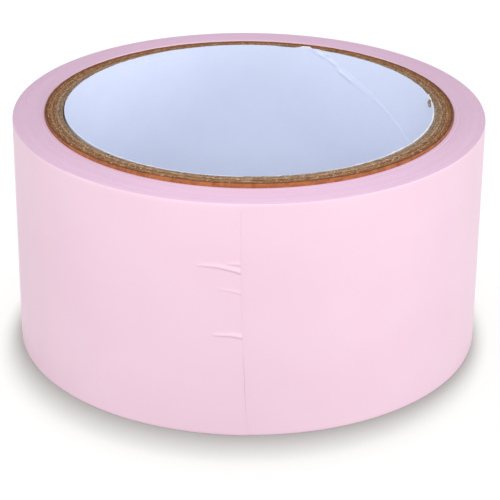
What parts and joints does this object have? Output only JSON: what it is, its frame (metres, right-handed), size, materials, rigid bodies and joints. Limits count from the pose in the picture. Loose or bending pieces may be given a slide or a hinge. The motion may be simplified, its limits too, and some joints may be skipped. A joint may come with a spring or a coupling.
{
  "type": "roll of adhesive film tape",
  "caption": "Wide roll of pink adhesive film tape on a spiral-wound paper core, standing on one end, with a free end that peels away.",
  "frame": {"origin": "on the axis of the core's bore, at the face that the roll stands on", "axes": "+Z along the bore axis, upwards; -Y is the side that the cut end of the film faces"},
  "size_m": [0.098, 0.098, 0.0506],
  "materials": {
    "liner_paper": "matte",
    "greyboard": "matte",
    "kraft_paper": "matte",
    "pvc_film": "satin"
  },
  "bodies": {
    "roll": {"core_liner": "liner_paper", "core_ply_1": "greyboard", "core_ply_2": "greyboard", "core_ply_3": "greyboard", "core_ply_4": "greyboard", "core_ply_5": "greyboard", "core_ply_6": "greyboard", "core_kraft_wrap": "kraft_paper", "tape_roll": "pvc_film"},
    "tail_1": {"tape_tail_1": "pvc_film"},
    "tail_2": {"tape_tail_2": "pvc_film"},
    "tail_3": {"tape_tail_3": "pvc_film"},
    "tail_4": {"tape_tail_4": "pvc_film"},
    "tail_5": {"tape_tail_5": "pvc_film"},
    "tail_end": {"tape_end": "pvc_film"}
  },
  "joints": [
    {"name": "tail_peel_1", "type": "hinge", "parent": "roll", "child": "tail_1", "pos_m": [-0.03525, -0.03407, 0.025], "axis": [0, 0, -1], "range_deg": [0, 20]},
    {"name": "tail_peel_2", "type": "hinge", "parent": "tail_1", "child": "tail_2", "pos_m": [-0.03121, -0.0378, 0.025], "axis": [0, 0, -1], "range_deg": [0, 20]},
    {"name": "tail_peel_3", "type": "hinge", "parent": "tail_2", "child": "tail_3", "pos_m": [-0.02678, -0.04106, 0.025], "axis": [0, 0, -1], "range_deg": [0, 20]},
    {"name": "tail_peel_4", "type": "hinge", "parent": "tail_3", "child": "tail_4", "pos_m": [-0.02202, -0.0438, 0.025], "axis": [0, 0, -1], "range_deg": [0, 20]},
    {"name": "tail_peel_5", "type": "hinge", "parent": "tail_4", "child": "tail_5", "pos_m": [-0.01697, -0.04599, 0.025], "axis": [0, 0, -1], "range_deg": [0, 20]},
    {"name": "tail_end_peel", "type": "hinge", "parent": "tail_5", "child": "tail_end", "pos_m": [-0.01172, -0.0476, 0.025], "axis": [0, 0, -1], "range_deg": [0, 20]}
  ],
  "couplings": [
    {"joint": "tail_peel_2", "follows": "tail_peel_1", "ratio": 1},
    {"joint": "tail_peel_3", "follows": "tail_peel_1", "ratio": 1},
    {"joint": "tail_peel_4", "follows": "tail_peel_1", "ratio": 1},
    {"joint": "tail_peel_5", "follows": "tail_peel_1", "ratio": 1},
    {"joint": "tail_end_peel", "follows": "tail_peel_1", "ratio": 1}
  ]
}
